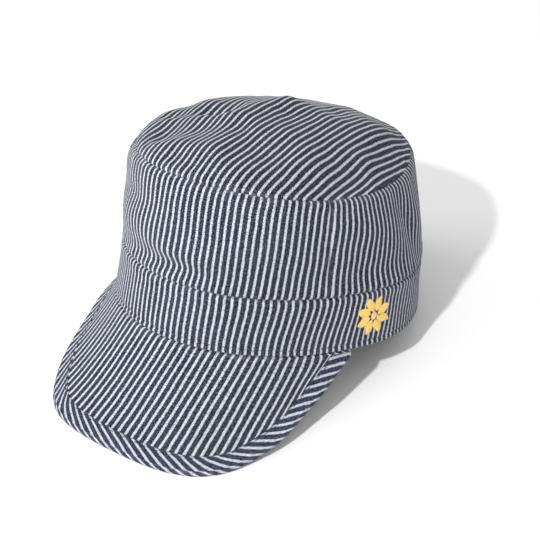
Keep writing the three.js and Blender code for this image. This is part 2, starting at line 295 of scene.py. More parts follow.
def smooth_step(value, low, high):
    """0 up to the low value and 1 from the high one, with an even curve between them."""
    share = np.clip((value - low) / (high - low), 0, 1)
    return share * share * (3 - 2 * share)


def blend(start, end, share):
    return start + (end - start) * share


def hump(value, centre, breadth):
    """1 at the centre, falling softly to 0 on both sides."""
    return np.exp(-(((value - centre) / breadth) ** 2))


def ripple(x, y, longest, shortest, seed):
    """Soft unevenness between about -1 and 1, the same each time, with waves of many lengths."""
    wheel = np.random.default_rng(seed)
    total = np.zeros(np.broadcast(x, y).shape)
    weight = 0.0
    for _ in range(14):
        length = shortest * (longest / shortest) ** wheel.random()
        turn = wheel.random() * math.tau
        phase = wheel.random() * math.tau
        strength = (length / longest) ** 0.5
        along = (x * math.cos(turn) + y * math.sin(turn)) * math.tau / length
        total = total + strength * np.sin(along + phase)
        weight += strength**2
    return total / math.sqrt(weight * 1.6)


def roll(distance):
    """How far the cloth has turned in at a distance from its seam."""
    return ROLL_DEPTH * np.clip(1 - distance / ROLL_WIDTH, 0, 1) ** 2


def seam_relief(distance, x, y, seed):
    """Ridge of the turned-in cloth beside a seam, and puckers that start at the seam's own points."""
    ridge = RIDGE_HEIGHT * hump(distance, RIDGE_PLACE, 2.2)
    pucker = ripple(x, y, 13, 4.5, seed) * np.exp(-distance / PUCKER_REACH)
    return ridge + PUCKER_HEIGHT * pucker


def rubbed(distance):
    """How worn the cloth is at a distance from its edge."""
    return np.clip(1 - distance / WEAR_REACH, 0, 1)


def ring(angle):
    """Places round the cap that come back to themselves after a full turn."""
    return 85 * np.sin(np.radians(angle)), -100 * np.cos(np.radians(angle))


def run_length(steps):
    """Length along each row of a grid, from the row's first point, for the steps between points."""
    start = np.zeros((steps.shape[0], 1))
    return np.concatenate([start, np.cumsum(np.linalg.norm(steps, axis=2), axis=1)], axis=1)


def middle_run(points):
    """Length along each row of a grid of points, from the row's middle."""
    run = run_length(np.diff(points, axis=1))
    return run - run[:, -1:] / 2


def pair(first, second):
    """Places in two ways, one pair of numbers for each point."""
    return np.stack([first, second], axis=-1)


# Shape of the cap


def point_of(x, y, z):
    """Points from three grids of numbers, or from plain numbers."""
    return np.stack(np.broadcast_arrays(x, y, z), axis=-1)


def oval_point(angle, half_length, half_width, squareness):
    """Point of an oval at an angle from the front toward the wearer's left."""
    side = np.sin(np.radians(angle))
    back = -np.cos(np.radians(angle))
    reach = (np.abs(side) ** squareness + np.abs(back) ** squareness) ** (-1 / squareness)
    return point_of(half_width * side * reach, half_length * back * reach, 0 * side)


def turn_from(centre, angle):
    """Degrees from a centre to an angle, the shorter way round."""
    return (angle - centre + 180) % 360 - 180


def about(angle, centre, spread):
    """Weight of a place at an angle round the cap, from 1 at the place itself down to 0."""
    return hump(turn_from(centre, angle), 0, spread)


def rim_point(angle):
    """Outer point of the rim."""
    slip = sum(row["out"] * about(angle, row["angle"], row["spread"]) for row in RIM_SLIPS)
    oval = oval_point(angle, RIM_HALF_LENGTH, RIM_HALF_WIDTH, 2)
    return oval + outward(angle) * slip[..., None]


def outward(angle):
    """Level direction straight out of the rim."""
    side = np.sin(np.radians(angle)) / RIM_HALF_WIDTH
    back = -np.cos(np.radians(angle)) / RIM_HALF_LENGTH
    size = np.hypot(side, back)
    return point_of(side / size, back / size, 0 * side)


def raised(points, height):
    """Points moved up by a height in the cap's own frame."""
    return points + point_of(0, 0, height)


def band_point(angle, height):
    """Point of the band's smooth outer face, at a height over the rim."""
    taper = read_table(BAND_SECTIONS, "up", "taper", np.clip(height / BAND_HEIGHT, 0, 1))
    inset = (BAND_TOP_TAPER * taper)[..., None]
    return raised(rim_point(angle) - outward(angle) * inset, height)


def top_seam_point(angle):
    """Point of the seam that joins the top to the wall."""
    point = oval_point(angle, TOP_HALF_LENGTH, TOP_HALF_WIDTH, TOP_SQUARENESS)
    front = np.cos(np.radians(angle))
    middle = (CROWN_HEIGHT_FRONT + CROWN_HEIGHT_BACK) / 2 - CROWN_HEIGHT_SIDE
    height = CROWN_HEIGHT_SIDE + (CROWN_HEIGHT_FRONT - CROWN_HEIGHT_BACK) / 2 * front
    for row in SEAM_SLIPS:
        share = about(angle, row["angle"], row["spread"])
        point = point + outward(angle) * (row["out"] * share)[..., None]
        height = height + row["up"] * share
    return point + point_of(0, -TOP_FORWARD, height + middle * front**2)


def wall_fold_height(angle, up):
    """How far the wall's folds stand out, fading toward both of its long seams."""
    height = np.zeros_like(angle)
    for fold in WALL_FOLDS:
        centre = fold["angle"] + fold["lean"] * (up - fold["up"])
        side = turn_from(centre, angle) / fold["spread"]
        rise = (up - fold["up"]) / fold["tall"]
        height = height + FOLD_HEIGHT * fold["height"] * np.exp(-(side**2) - rise**2)
    return height * np.sin(np.pi * np.clip(up, 0, 1)) ** 0.4


def wall_base(angle, up):
    """The wall without its folds."""
    low = raised(band_point(angle, np.full_like(angle, BAND_HEIGHT)), SEAM_SLIT)
    high = raised(top_seam_point(angle), -SEAM_SLIT)
    inward = read_table(WALL_SECTIONS, "up", "inward", up)[..., None]
    bulge = read_table(WALL_SECTIONS, "up", "bulge", up)
    point = blend(low, high, inward)
    point[..., 2] = blend(low[..., 2], high[..., 2], up)
    return point + outward(angle) * (WALL_BULGE * bulge)[..., None]


def wall_height(angle):
    """Height of the wall between its slits at the band and at the top."""
    return top_seam_point(angle)[..., 2] - BAND_HEIGHT - 2 * SEAM_SLIT


def wall_point(angle, up, from_angle, to_angle):
    """The wall with its folds, its seams' ridges and puckers, and its edges rolled in."""
    base = wall_base(angle, up)
    height = wall_height(angle)
    round_run = angle * 1.5
    above_band = up * height
    below_top = (1 - up) * height
    beside_seam = np.minimum(angle - from_angle, to_angle - angle) * WALL_RUN
    swell = wall_fold_height(angle, up)
    slack = WALL_SLACK * ripple(round_run, above_band, 46, 13, 5)
    swell = swell + slack * np.sin(np.pi * up) ** 0.5
    swell = swell + seam_relief(above_band, *ring(angle), 11)
    swell = swell + seam_relief(below_top, *ring(angle), 12)
    swell = swell + 0.6 * seam_relief(beside_seam, above_band, 0, 13)
    swell = swell - roll(above_band) - roll(below_top) - 0.7 * roll(beside_seam)
    return base + outward(angle) * swell[..., None]


def line_distance(x, y, start, end):
    """Distance from a line between two points."""
    dx = end[0] - start[0]
    dy = end[1] - start[1]
    share = ((x - start[0]) * dx + (y - start[1]) * dy) / (dx * dx + dy * dy)
    share = np.clip(share, 0, 1)
    return np.hypot(x - start[0] - share * dx, y - start[1] - share * dy)


def top_fold_height(x, y):
    """How far the top's folds rise or sink."""
    height = np.zeros_like(x)
    for fold in TOP_FOLDS:
        start = (fold["from"][0] * TOP_HALF_WIDTH, fold["from"][1] * TOP_HALF_LENGTH)
        end = (fold["to"][0] * TOP_HALF_WIDTH, fold["to"][1] * TOP_HALF_LENGTH)
        distance = line_distance(x, y, start, end) / (fold["breadth"] * TOP_HALF_WIDTH)
        height = height + FOLD_HEIGHT * fold["height"] * np.exp(-(distance**2))
    return height


def top_point(angle, share):
    """Point of the top, at a share of the way from its middle to its seam."""
    seam = top_seam_point(angle)
    middle = (CROWN_HEIGHT_FRONT + CROWN_HEIGHT_BACK) / 2
    centre = point_of(0 * angle, 0 * angle - TOP_FORWARD, 0 * angle + middle)
    point = blend(centre, seam, share[..., None])
    x = point[..., 0]
    y = point[..., 1] + TOP_FORWARD
    fold = top_fold_height(x, y) + TOP_SLACK * ripple(x, y, 46, 12, 21)
    turn = np.radians(angle)
    flatness = TOP_FLATNESS + TOP_FLATNESS_FRONT * np.cos(turn) + TOP_FLATNESS_LEFT * np.sin(turn)
    rise = TOP_RISE * (1 - share**flatness) + fold * (1 - share**6)
    inside_seam = (1 - share) * TOP_RUN
    relief = seam_relief(inside_seam, *ring(angle), 22)
    point = raised(point, rise + relief * (1 - np.exp(-inside_seam)))
    return point - outward(angle) * roll(inside_seam)[..., None]


def peak_reach(across):
    """Millimetres from the peak's root to its edge."""
    reach = PEAK_REACH * read_table(PEAK_STATIONS, "across", "reach", np.abs(across))
    for row in PEAK_TRIMS:
        reach = reach - row["trim"] * hump(across, row["across"], row["spread"])
    return reach


def peak_skin(across, along):
    """Upper face of the peak: across from -1 to 1, and a share of the way from root to edge."""
    fan = np.radians(read_table(PEAK_STATIONS, "across", "fan", np.abs(across)))
    fan = fan * np.sign(across)
    droop = np.radians(read_table(PEAK_STATIONS, "across", "droop", np.abs(across)))
    reach = peak_reach(across)
    ahead = point_of(
        np.sin(fan) * np.cos(droop), -np.cos(fan) * np.cos(droop), -np.sin(droop)
    )
    point = rim_point(across * PEAK_HALF_ANGLE) + ahead * (reach * along)[..., None]
    sag = 4 * along * (1 - along) * PEAK_SAG * reach / PEAK_REACH
    return raised(point, -sag - SEAM_SLIT)


def unit(vectors):
    return vectors / np.linalg.norm(vectors, axis=-1, keepdims=True)


def peak_depth_point(across, along, depth):
    """Point in the peak at a depth from 0 on its upper face to 1 on its lower face."""
    step = 0.01
    left = peak_skin(np.minimum(across + step, 1), along)
    right = peak_skin(np.maximum(across - step, -1), along)
    near = peak_skin(across, along - step)
    far = peak_skin(across, along + step)
    inside = -unit(np.cross(left - right, near - far)) * PEAK_THICKNESS
    level = -outward(across * PEAK_HALF_ANGLE) * BAND_WALL
    free = smooth_step(along * peak_reach(across), 0, ROOT_BLEND)[..., None]
    return peak_skin(across, along) + blend(level, inside, free) * depth[..., None]


def floor_height(points):
    """Height over the floor, once the cap is laid down."""
    tilt = math.radians(REST_TILT)
    return REST_SHIFT[2] + points[..., 2] * math.cos(tilt) - points[..., 1] * math.sin(tilt)


def floor_lift(points):
    """How far points that would be under the floor have to rise in the cap's own frame."""
    return np.maximum(0, -floor_height(points)) / math.cos(math.radians(REST_TILT))


def nose_start(across):
    """Share of the peak's reach at which its rounded edge starts."""
    return 1 - PEAK_THICKNESS / 2 / peak_reach(across)


def bare_end(across):
    """Share of the peak's reach at which the bias strip starts."""
    reach = peak_reach(across)
    return np.maximum(reach - BINDING_WIDTH - 0.4, BARE_END) / reach


def peak_point(across, along, depth):
    """Peak point, with its edge lifted where the floor would cut it."""
    start = nose_start(across)
    lift = np.zeros_like(across)
    for turn in np.linspace(0, math.pi, 9):
        place = blend(start, 1, math.sin(turn))
        edge = peak_depth_point(across, place, np.full_like(across, 0.5 - math.cos(turn) / 2))
        lift = np.maximum(lift, floor_lift(edge))
    point = peak_depth_point(across, along, depth)
    return raised(point, lift * smooth_step(along, 0, start))


# Panels of cloth


def deselect_all():
    bpy.ops.object.select_all(action="DESELECT")


def panel(name, columns, rows, shape, lay, closed=False, cloth=None):
    """A flat grid of cloth laid to its shape, with its own places on the cloth as its UV map.

    shape gives the points in millimetres and lay the places on the cloth in millimetres and how
    worn it is, both for shares across and along the panel. A closed panel is joined to itself.
    """
    deselect_all()
    bpy.ops.mesh.primitive_grid_add(x_subdivisions=columns, y_subdivisions=rows, size=1)
    piece = bpy.context.active_object
    piece.name = name
    mesh = piece.data
    mesh.name = name
    count = (columns + 1) * (rows + 1)
    flat = np.zeros(count * 3)
    mesh.vertices.foreach_get("co", flat)
    flat = flat.reshape(-1, 3)
    order = np.lexsort((flat[:, 0].round(6), flat[:, 1].round(6)))
    across, along = np.meshgrid(np.linspace(0, 1, columns + 1), np.linspace(0, 1, rows + 1))
    points = shape(across, along)
    places, worn = lay(across, along, points)
    turned = np.array(CAP_TO_WORLD)
    world = points @ turned[:3, :3].T + turned[:3, 3]
    world[..., 2] = np.maximum(world[..., 2], 0)
    flat[order] = world.reshape(-1, 3)
    mesh.vertices.foreach_set("co", flat.astype(np.float32).ravel())
    on_cloth = np.zeros((count, 2))
    on_cloth[order] = places.reshape(-1, 2)
    corners = np.zeros(len(mesh.loops), np.int32)
    mesh.loops.foreach_get("vertex_index", corners)
    while mesh.uv_layers:
        mesh.uv_layers.remove(mesh.uv_layers[0])
    layer = mesh.uv_layers.new(name="cloth")
    layer.data.foreach_set("uv", on_cloth[corners].astype(np.float32).ravel())
    wear = np.zeros(count)
    wear[order] = np.broadcast_to(worn, across.shape).ravel()
    attribute = mesh.attributes.new("wear", "FLOAT", "POINT")
    attribute.data.foreach_set("value", wear.astype(np.float32))
    mesh.update()
    if cloth is not None:
        add_thickness(piece, wear, cloth)
    if closed:
        close_panel()
    bpy.ops.object.shade_smooth_by_angle(angle=math.radians(SMOOTH_ANGLE))
    return piece


def add_thickness(piece, wear, cloth):
    """The cloth's other face, thinner where the edges are pressed into a seam."""
    if outer_face_is_inside(piece):
        bpy.ops.object.mode_set(mode="EDIT")
        bpy.ops.mesh.select_all(action="SELECT")
        bpy.ops.mesh.flip_normals()
        bpy.ops.object.mode_set(mode="OBJECT")
    group = piece.vertex_groups.new(name="thickness")
    for vertex, share in enumerate(np.clip(1 - wear, 0.3, 1)):
        group.add([vertex], float(share), "REPLACE")
    solidify = piece.modifiers.new("cloth", "SOLIDIFY")
    solidify.thickness = cloth * 0.001
    solidify.offset = -1
    solidify.vertex_group = "thickness"
    bpy.ops.object.modifier_apply(modifier="cloth")


def outer_face_is_inside(piece):
    """Whether the faces look toward the middle of the crown."""
    middle = CAP_TO_WORLD @ Vector((0, 0, 40))
    facing = sum((face.center - middle).dot(face.normal) * face.area for face in piece.data.polygons)
    return facing < 0


def close_panel():
    """Joins the edges that meet, closes the ends and turns every face outward."""
    bpy.ops.object.mode_set(mode="EDIT")
    bpy.ops.mesh.select_all(action="SELECT")
    bpy.ops.mesh.remove_doubles(threshold=0.000005)
    bpy.ops.mesh.fill_holes(sides=0)
    bpy.ops.mesh.normals_make_consistent(inside=False)
    bpy.ops.object.mode_set(mode="OBJECT")


def crowd_edges(share, strength=0.8):
    """Shares from 0 to 1 that lie closer together toward both edges."""
    return share - strength * np.sin(math.tau * share) / math.tau


def make_wall(name, from_angle, to_angle, columns, grain):
    """Wall panel of the crown, with upright stripes counted from the panel's own centre.

    A grain of 1 keeps their pitch at every height, and one of 0 keeps them beside the seams.
    """
    centre = (from_angle + to_angle) / 2
    trim = 0.03

    def angle_of(across):
        return blend(from_angle + trim, to_angle - trim, crowd_edges(across, 0.5))

    def shape(across, along):
        return wall_point(angle_of(across), crowd_edges(along), from_angle, to_angle)

    def lay(across, along, points):
        angle = angle_of(across)
        up = crowd_edges(along)
        base = wall_base(angle, up)
        base[..., 2] = 0
        half = middle_run(base)[:, -1:]
        at_middle = middle_run(wall_base(angle, np.full_like(up, 0.5)) * np.array([1, 1, 0]))
        ratio = (half / at_middle[:, -1:]) ** grain
        height = wall_height(angle)
        pull = WALL_PULL * hump(angle, 28, 30) * np.exp(-up * height / 12)
        places = pair(at_middle * ratio + pull, up * height)
        beside = np.minimum(angle - from_angle, to_angle - angle) * WALL_RUN
        edge = np.minimum(np.minimum(up, 1 - up) * height, beside)
        return places, rubbed(edge)

    return panel(name, columns, 84, shape, lay, cloth=CROWN_WALL)


def make_top():
    """Domed top, a round of cloth whose stripes run from front to back."""

    def disc(across, along):
        x = across * 2 - 1
        y = along * 2 - 1
        wide = np.abs(x) > np.abs(y)
        safe_x = np.where(x == 0, 1, x)
        safe_y = np.where(y == 0, 1, y)
        radius = np.where(wide, x, y)
        turn = np.where(wide, y / safe_x * math.pi / 4, math.pi / 2 - x / safe_y * math.pi / 4)
        x = radius * np.cos(turn)
        y = radius * np.sin(turn)
        share = np.clip(np.hypot(x, y), 0, 1)
        share = share * (1 + 0.6 * (1 - share))
        return np.degrees(np.arctan2(x, -y)), share

    def shape(across, along):
        return top_point(*disc(across, along))

    def lay(across, along, points):
        _, share = disc(across, along)
        x = points[..., 0]
        y = points[..., 1] + TOP_FORWARD
        places = pair(x * (1 + 0.05 * (x / TOP_HALF_WIDTH) ** 6), y)
        return places, rubbed((1 - share) * TOP_RUN)

    return panel("top_cloth", 156, 156, shape, lay, cloth=CROWN_WALL)


def band_face(angle, height, offset=0.0):
    """A point of the band at an offset from its outer face, pressed flat where it meets the floor."""
    x, y = ring(angle)
    outer = smooth_step(offset, -BAND_WALL / 2, 0)
    wave = BAND_SLACK * ripple(x, y + height * 0.5, 70, 22, 31)
    wave = wave - DENT_DEPTH * about(angle, DENT_ANGLE, DENT_SPREAD)
    wave = wave * hump(height, 17, 12)
    stitched = -0.4 * hump(height, HEM_HEIGHT, 0.7) + 0.25 * hump(height, 1.2, 1.2)
    pulled = 0.16 * ripple(x, y, 12, 4.5, 32) * hump(height, HEM_HEIGHT, 3)
    below_top = BAND_HEIGHT - height
    joined = seam_relief(below_top, x, y, 33) - roll(below_top) * 0.6
    relief = (wave + stitched + pulled + joined) * outer
    point = band_point(angle, height) + outward(angle) * (offset + relief)[..., None]
    sole = band_point(angle, 0 * height) - outward(angle) * (BAND_WALL / 2)
    lift = floor_lift(sole) * (1 - smooth_step(height, 0, RIM_PRESS_FADE))
    return raised(point, lift)


def make_band():
    """Band round the head: two faces of cloth with a rounded hem below and a folded edge above."""
    hem = 0.9
    wall = BAND_WALL
    profile = []
    for share in crowd_edges(np.linspace(0, 1, 45), 0.7):
        profile.append((0.0, blend(BAND_HEIGHT - hem, hem, share)))
    for turn in np.linspace(0, math.pi, 9)[1:]:
        profile.append((-wall / 2 * (1 - math.cos(turn)), hem - hem * math.sin(turn)))
    for share in np.linspace(0, 1, 21)[1:]:
        profile.append((-wall, blend(hem, BAND_HEIGHT - hem, share)))
    for turn in np.linspace(0, math.pi, 9)[1:]:
        profile.append((-wall / 2 * (1 + math.cos(turn)), BAND_HEIGHT - hem + hem * math.sin(turn)))
    profile = np.array(profile)
    run = np.concatenate([[0], np.cumsum(np.hypot(*np.diff(profile, axis=0).T))])
    rows = len(profile) - 1

    def offset_and_height(along):
        row = np.round(along * rows).astype(int)
        return profile[row, 0], profile[row, 1], run[row]

    def shape(across, along):
        angle = across * 360 - 180
        offset, height, _ = offset_and_height(along)
        return band_face(angle, height, offset)

    def lay(across, along, points):
        angle = across * 360 - 180
        _, height, length = offset_and_height(along)
        round_run = middle_run(rim_point(angle))
        edge = np.minimum(BAND_HEIGHT - height, height)
        pulled = BAND_PULL * hump(angle, 58, 36) * smooth_step(height, 3, 29)
        places = pair(round_run - pulled, length)
        return places, 0.8 * rubbed(edge)

    return panel("band_cloth", 480, rows, shape, lay, closed=True)


def stripe_run(points):
    """Distance across the stripes of the peak, counted from its centre."""
    droop = math.radians(PEAK_STATIONS[0]["droop"])
    grain = np.array([0, -math.cos(droop), -math.sin(droop)])
    steps = np.diff(points, axis=1)
    steps = steps - (steps @ grain)[..., None] * grain
    length = run_length(steps)
    middle = points.shape[1] // 2
    return length - length[:, middle : middle + 1]


def make_peak():
    """Stiff peak: an upper and a lower face, recessed where the bias strip covers them."""
    recess = (BINDING_CLOTH + 0.15) / PEAK_THICKNESS
    face_rows = 52
    tongue_rows = 10
    columns = 280
    sides = []
    for row in range(face_rows + 1):
        sides.append((row / face_rows, 0.0, 0.0))
    for row in range(tongue_rows + 1):
        sides.append((1.0, row / tongue_rows, recess))
    profile = sides + [(face, tongue, 1 - depth) for face, tongue, depth in reversed(sides)]
    profile = np.array(profile + [profile[0]])
    rows = len(profile) - 1

    def place(across, along):
        row = np.round(along * rows).astype(int)
        side = across * 2 - 1
        face = profile[row, 0] * bare_end(side)
        under = profile[row, 1]
        share = blend(face, nose_start(side), under * (profile[row, 0] >= 1))
        return side, share, profile[row, 2]

    def shape(across, along):
        side, share, depth = place(across, along)
        point = peak_point(side, share, depth)
        reach = peak_reach(side)
        from_root = share * reach
        wave = PEAK_SLACK * ripple(point[..., 0], point[..., 1] * 1.4, 60, 20, 41)
        ditch = -0.5 * roll(from_root)
        lift = (wave * smooth_step(from_root, 0, 8) + ditch) * (1 - smooth_step(depth, 0, 0.4))
        return raised(point, lift * (1 - profile[np.round(along * rows).astype(int), 1]))

    def lay(across, along, points):
        side, share, _ = place(across, along)
        smooth = peak_skin(side, share)
        from_root = share * peak_reach(side)
        root_slope = math.tan(math.radians(PEAK_SKEW_ROOT))
        edge_slope = math.tan(math.radians(PEAK_SKEW_EDGE))
        out = from_root / PEAK_REACH
        skew = from_root * (root_slope + (edge_slope - root_slope) * out / 2)
        spread = blend(PEAK_SPREAD_ROOT, PEAK_SPREAD_EDGE, out)
        places = pair((stripe_run(smooth) + skew) / spread, from_root)
        return places, 0.8 * rubbed(from_root)

    return panel("peak_cloth", columns, rows, shape, lay, closed=True)


def make_binding():
    """Bias strip folded round the peak's edge, a little proud of it and stitched along both arms."""
    proud = -0.25 / PEAK_THICKNESS
    inner = BINDING_CLOTH / PEAK_THICKNESS
    arm_rows = 22
    nose_rows = 14
    columns = 300
    outside = []
    for row in range(arm_rows + 1):
        outside.append((row / arm_rows, 0.0))
    for turn in np.linspace(0, math.pi, nose_rows + 1)[1:]:
        outside.append((1.0, turn))
    for row in range(1, arm_rows + 1):
        outside.append((1 - row / arm_rows, math.pi))
    outside = np.array(outside)
    count = len(outside)
    rows = 2 * count

    def place(across, along):
        row = np.round(along * rows).astype(int) % rows
        is_inner = row >= count
        index = np.where(is_inner, 2 * count - 1 - row, row)
        return across * 2 - 1, outside[index, 0], outside[index, 1], is_inner

    def shape(across, along):
        side, arm, turn, is_inner = place(across, along)
        reach = peak_reach(side)
        start = bare_end(side) + 0.1 / reach
        nose = nose_start(side)
        from_edge = arm * (nose - start) * reach
        edge_round = np.clip(1 - from_edge / 0.9, 0, 1) ** 2
        stitched = 0.22 * hump(from_edge, 1.7, 0.5) * (arm < 1)
        face = blend(proud + stitched / PEAK_THICKNESS, inner * 0.45, edge_round)
        depth = np.where(is_inner, inner, face)
        share = blend(start, nose, arm)
        bend = np.where(arm >= 1, np.sin(turn) * (1 - 2 * depth), 0)
        share = np.where(arm >= 1, blend(nose, 1, bend), share)
        across_depth = np.where(arm >= 1, 0.5 - np.cos(turn) * (0.5 - depth), depth)
        is_lower = (arm < 1) & (turn > 1)
        across_depth = np.where(is_lower, 1 - depth, across_depth)
        return peak_point(side, share, across_depth)

    def lay(across, along, points):
        side, arm, turn, _ = place(across, along)
        edge = peak_depth_point(side, np.ones_like(side), np.full_like(side, 0.5))
        round_run = middle_run(edge)
        column = np.arange(columns + 1)
        further = edge[:, np.minimum(column + 14, columns)]
        ahead = unit(further - edge[:, np.maximum(column - 14, 0)])
        round_run = round_run + np.sum((points - edge) * ahead, axis=-1)
        nose = np.where(arm >= 1, turn / math.pi * 5.0, 0)
        inward = points - edge
        inward = inward - np.sum(inward * ahead, axis=-1, keepdims=True) * ahead
        from_nose = np.linalg.norm(inward, axis=-1)
        down = np.where((arm < 1) & (turn > 1), 1.75 + from_nose, -from_nose)
        down = np.where(arm >= 1, nose - 1.6, down)
        slope = blend(BIAS_SLOPE_RIGHT, BIAS_SLOPE_LEFT, smooth_step(side, -0.4, 0.5))
        across_grain = (round_run - down / slope) * BIAS_CLOSING
        along_grain = round_run * 0.5 + down
        return pair(across_grain, along_grain), 0.5 * (arm >= 1)

    return panel("binding_cloth", columns, rows, shape, lay, closed=True)


# Stitches


def make_stitch(arch):
    """One short thread along X with its ends drawn in, standing arch thread radii above its ends."""
    deselect_all()
    bpy.ops.mesh.primitive_cylinder_add(
        vertices=6, radius=1, depth=2, rotation=(0, math.radians(90), 0)
    )
    bpy.ops.object.transform_apply(location=True, rotation=True, scale=True)
    stitch = bpy.context.active_object
    bpy.ops.object.mode_set(mode="EDIT")
    bpy.ops.mesh.select_mode(type="EDGE")
    bpy.ops.mesh.select_all(action="DESELECT")
    bpy.ops.object.mode_set(mode="OBJECT")
    for edge in stitch.data.edges:
        ends = [stitch.data.vertices[i].co for i in edge.vertices]
        edge.select = abs(ends[0].x - ends[1].x) > 1
    bpy.ops.object.mode_set(mode="EDIT")
    bpy.ops.mesh.subdivide(number_cuts=4)
    bpy.ops.object.mode_set(mode="OBJECT")
    for vertex in stitch.data.vertices:
        drawn_in = 1 - 0.62 * abs(vertex.co.x) ** 5
        vertex.co.y *= drawn_in
        vertex.co.z = vertex.co.z * drawn_in + arch * (1 - vertex.co.x**2)
    return stitch


def along_face(face, starts, ends, radius, sunk):
    """A place for each stitch that runs over a face between two points of the face's own two ways."""
    starts = np.array(starts, float)
    ends = np.array(ends, float)
    middle = (starts + ends) / 2
    first = face(*starts.T)
    last = face(*ends.T)
    one_way = face(middle[:, 0] + 0.05, middle[:, 1]) - face(middle[:, 0] - 0.05, middle[:, 1])
    other_way = face(middle[:, 0], middle[:, 1] + 0.05) - face(middle[:, 0], middle[:, 1] - 0.05)
    out = unit(np.cross(one_way, other_way))
    ahead = (last - first) / 2
    side = unit(np.cross(out, ahead)) * radius
    out = unit(np.cross(ahead, side)) * radius
    centre = (first + last) / 2 - out * sunk
    places = []
    for i in range(len(centre)):
        place = Matrix((ahead[i], side[i], out[i])).transposed().to_4x4()
        place.translation = Vector(centre[i])
        places.append(CAP_TO_WORLD @ place)
    return places


def sew(name, stitch, places):
    """Copies of a stitch at its places, joined to one piece."""
    deselect_all()
    for place in places:
        copy = stitch.copy()
        copy.data = stitch.data.copy()
        copy.data.transform(place)
        bpy.context.scene.collection.objects.link(copy)
        copy.select_set(True)
    bpy.context.view_layer.objects.active = copy
    bpy.ops.object.join()
    seam = bpy.context.active_object
    seam.name = name
    seam.data.name = name
    bpy.ops.object.shade_smooth_by_angle(angle=math.radians(SMOOTH_ANGLE))
    bpy.data.objects.remove(stitch)
    return seam


def running_stitches(length):
    """Ends of the stitches of a seam, as shares of its length."""
    count = round(length / STITCH_PITCH)
    middle = (np.arange(count) + 0.5) / count
    half = 0.5 * STITCH_LENGTH / length
    return middle - half, middle + half


def make_hem_stitches():
    """Stitches of the hem, all round the band near the rim."""
    starts, ends = running_stitches(HEM_RUN)
    height = np.full_like(starts, HEM_HEIGHT)
    first = pair(starts * 360 - 180, height)
    last = pair(ends * 360 - 180, height)
    places = along_face(band_face, first, last, STITCH_RADIUS, STITCH_SUNK)
    return sew("hem_stitches", make_stitch(0.6), places)


def make_strip_stitches():
    """Stitches near the inner edge of the bias strip, above and below the peak."""
    starts, ends = running_stitches(STRIP_RUN)
    places = []
    for lower in (False, True):

        def strip_face(across, inward):
            side = across * 2 - 1
            reach = peak_reach(side)
            share = bare_end(side) + (STRIP_STITCH_INSET + inward) / reach
            depth = np.full_like(side, (1 + STRIP_PROUD) if lower else -STRIP_PROUD)
            return peak_point(side, share, depth)

        first = pair(starts, 0 * starts)[2:-2]
        last = pair(ends, 0 * ends)[2:-2]
        if lower:
            first, last = last, first
        places += along_face(strip_face, first, last, STITCH_RADIUS, STITCH_SUNK)
    return sew("strip_stitches", make_stitch(0.6), places)


def make_rosette():
    """A plain rosette in satin stitch, each petal filled by threads laid side by side."""

    def mark_face(across, rise):
        return band_face(ROSETTE_ANGLE + across / BAND_RUN, ROSETTE_HEIGHT + rise)

    first = []
    last = []
    radii = np.arange(PETAL_START, PETAL_END, THREAD_PITCH)
    for petal in range(PETALS):
        turn = math.tau * (petal + 0.5) / PETALS
        along = np.array([math.cos(turn), math.sin(turn)])
        across = np.array([-along[1], along[0]])
        for radius in radii:
            share = (radius - PETAL_START) / (PETAL_END - PETAL_START)
            half = PETAL_HALF_WIDTH * math.sin(math.pi * share**0.85) + 0.35
            slant = along * half * 0.35
            first.append(along * radius - across * half - slant)
            last.append(along * radius + across * half + slant)
    for offset in np.arange(-EYE_RADIUS, EYE_RADIUS + 0.01, THREAD_PITCH):
        half = math.sqrt(max(EYE_RADIUS**2 - offset**2, 0.2))
        first.append(np.array([-half, offset]))
        last.append(np.array([half, offset]))
    places = along_face(mark_face, first, last, THREAD_RADIUS, 0.2)
    return sew("stitched_rosette", make_stitch(1.1), places)


# Materials


def add_node(tree, kind, **values):
    """A node with its own settings, and its inputs' values by name."""
    node = tree.nodes.new(kind)
    for key, value in values.items():
        if hasattr(node, key):
            setattr(node, key, value)
        else:
            node.inputs[key.replace("_", " ")].default_value = value
    return node


def feed(tree, socket, value):
    """Gives a socket the value of another socket, or a plain one."""
    if isinstance(value, bpy.types.NodeSocket):
        tree.links.new(value, socket)
    else:
        socket.default_value = value


def math_node(tree, operation, *values):
    """The result of a sum on sockets or plain numbers."""
    node = add_node(tree, "ShaderNodeMath", operation=operation)
    for socket, value in zip(node.inputs, values):
        feed(tree, socket, value)
    return node.outputs[0]


def ramp_node(tree, value, low, high, to_low=0.0, to_high=1.0):
    """A value carried smoothly from one range to another."""
    node = add_node(
        tree, "ShaderNodeMapRange", interpolation_type="SMOOTHSTEP", To_Min=to_low, To_Max=to_high
    )
    feed(tree, node.inputs["Value"], value)
    feed(tree, node.inputs["From Min"], low)
    feed(tree, node.inputs["From Max"], high)
    return node.outputs["Result"]


def noise_node(tree, vector, scale, detail=2.0, roughness=0.5, stretch=None):
    """Noise on a vector, stretched along its own axes where asked."""
    if stretch is not None:
        mapping = add_node(tree, "ShaderNodeMapping", Scale=stretch)
        tree.links.new(vector, mapping.inputs["Vector"])
        vector = mapping.outputs["Vector"]
    node = add_node(tree, "ShaderNodeTexNoise", Scale=scale, Detail=detail, Roughness=roughness)
    tree.links.new(vector, node.inputs["Vector"])
    return node.outputs["Fac"]


def mix_colours(tree, share, first, second):
    """A colour between two others, by a share."""
    node = add_node(tree, "ShaderNodeMix", data_type="RGBA")
    colours = [socket for socket in node.inputs if socket.type == "RGBA"]
    for socket, value in zip([node.inputs["Factor"], *colours], (share, first, second)):
        feed(tree, socket, value)
    return next(socket for socket in node.outputs if socket.type == "RGBA")


